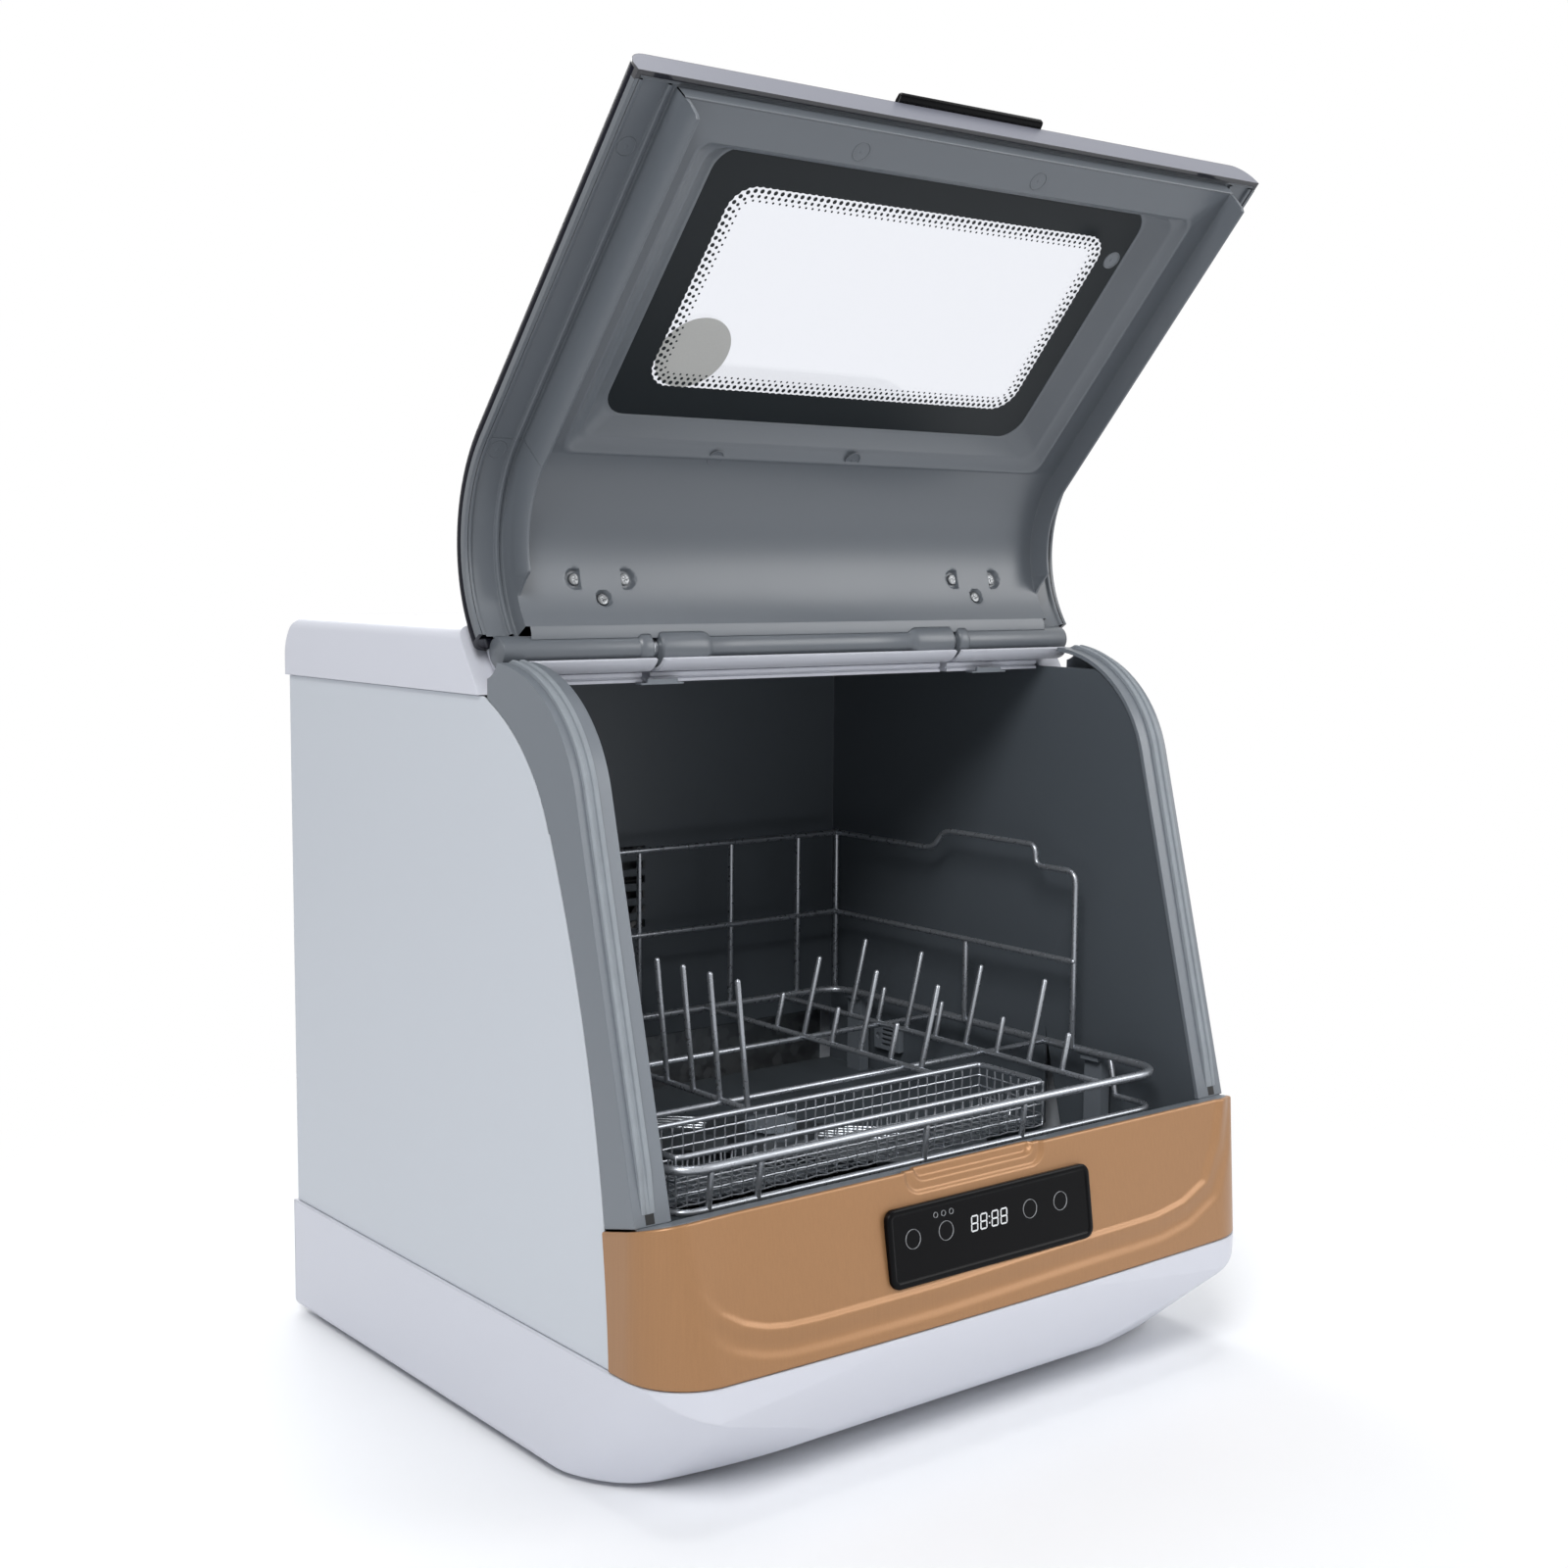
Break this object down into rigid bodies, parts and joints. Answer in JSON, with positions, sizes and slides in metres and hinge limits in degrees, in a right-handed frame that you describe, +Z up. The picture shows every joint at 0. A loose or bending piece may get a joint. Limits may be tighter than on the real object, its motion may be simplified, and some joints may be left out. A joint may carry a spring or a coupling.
{
  "type": "countertop dishwasher",
  "caption": "Compact countertop dishwasher with a lift-up windowed lid, wire rack, mesh cutlery basket, rotating spray arm and touch controls",
  "frame": {"origin": "on the surface it stands on, under the middle of the bounding box", "axes": "+X to the right as a user faces it, -Y is the front, +Z up"},
  "size_m": [0.43, 0.4, 0.7043],
  "materials": {
    "white": "moulded white plastic",
    "side_paint": "powder-coated steel sheet",
    "galvanised": "zinc-coated sheet",
    "gold": "metallic copper-gold lacquer",
    "grey": "moulded grey plastic",
    "seal": "soft grey seal",
    "foot": "black rubber",
    "tub_steel": "pressed stainless sheet",
    "glass": "clear window pane",
    "label": "plain white film disc",
    "black": "glossy black plastic",
    "dark": "dark moulded plastic",
    "steel": "stainless steel",
    "wire": "grey coated wire",
    "board": "green circuit board",
    "rotor": "pump rotor"
  },
  "bodies": {
    "cabinet": {"base_tray": "white", "rubber_feet": "foot", "side_panel_left": "side_paint", "side_panel_right": "side_paint", "back_panel": "galvanised", "top_cap": "white", "opening_lip": "white", "lip_clips": "grey", "front_frame": "grey", "door_seal": "seal", "front_panel": "gold", "tub": "tub_steel", "hinge_arms": "steel", "hinge_pins": "steel", "control_bezel": "black", "control_board": "board", "sump": "dark", "filter_plate": "steel", "riser": "grey", "riser_cap": "grey", "air_vent": "grey", "pump_housing": "dark", "drain_pump": "dark", "inlet_valve": "white", "water_inlet": "steel", "drain_outlet": "dark", "power_inlet": "dark", "flow_heater": "steel", "door_switch": "dark", "fan_frame": "dark"},
    "lid": {"lid_shell": "black", "hinge_cover": "black", "lid_frame": "grey", "window_glass": "glass", "window_disc": "label", "lid_handle": "black", "lid_screws": "steel"},
    "rack": {"rack_rails": "wire", "rack_loop": "wire", "rack_legs": "wire", "rack_tines": "wire", "rack_guards": "wire", "rack_feet": "grey"},
    "basket": {"cutlery_basket": "steel"},
    "sprayer": {"spray_arm": "steel"},
    "pump_shaft": {"pump_rotor": "rotor"},
    "fan_wheel": {"fan_rotor": "dark"},
    "filter": {"filter_cup": "dark"}
  },
  "joints": [
    {"name": "lid_hinge", "type": "hinge", "parent": "cabinet", "child": "lid", "pos_m": [0, -0.0306, 0.4171], "axis": [1, 0, 0], "range_deg": [0, 124.6]},
    {"name": "spray_spin", "type": "hinge", "parent": "cabinet", "child": "sprayer", "pos_m": [0, 0, 0.12], "axis": [0, 0, 1], "continuous": true},
    {"name": "pump_spin", "type": "hinge", "parent": "cabinet", "child": "pump_shaft", "pos_m": [0.062, 0.06, 0.054], "axis": [1, 0, 0], "continuous": true},
    {"name": "fan_spin", "type": "hinge", "parent": "cabinet", "child": "fan_wheel", "pos_m": [0, 0.185, 0.25], "axis": [0, 1, 0], "continuous": true},
    {"name": "filter_twist", "type": "hinge", "parent": "cabinet", "child": "filter", "pos_m": [-0.072, 0.062, 0.09], "axis": [0, 0, 1], "range_deg": [0, 90]},
    {"name": "rack_lift", "type": "slide", "parent": "cabinet", "child": "rack", "axis": [0, 0, 1], "range_m": [0, 0.005]},
    {"name": "basket_lift", "type": "slide", "parent": "rack", "child": "basket", "axis": [0, 0, 1], "range_m": [0, 0.012]}
  ]
}
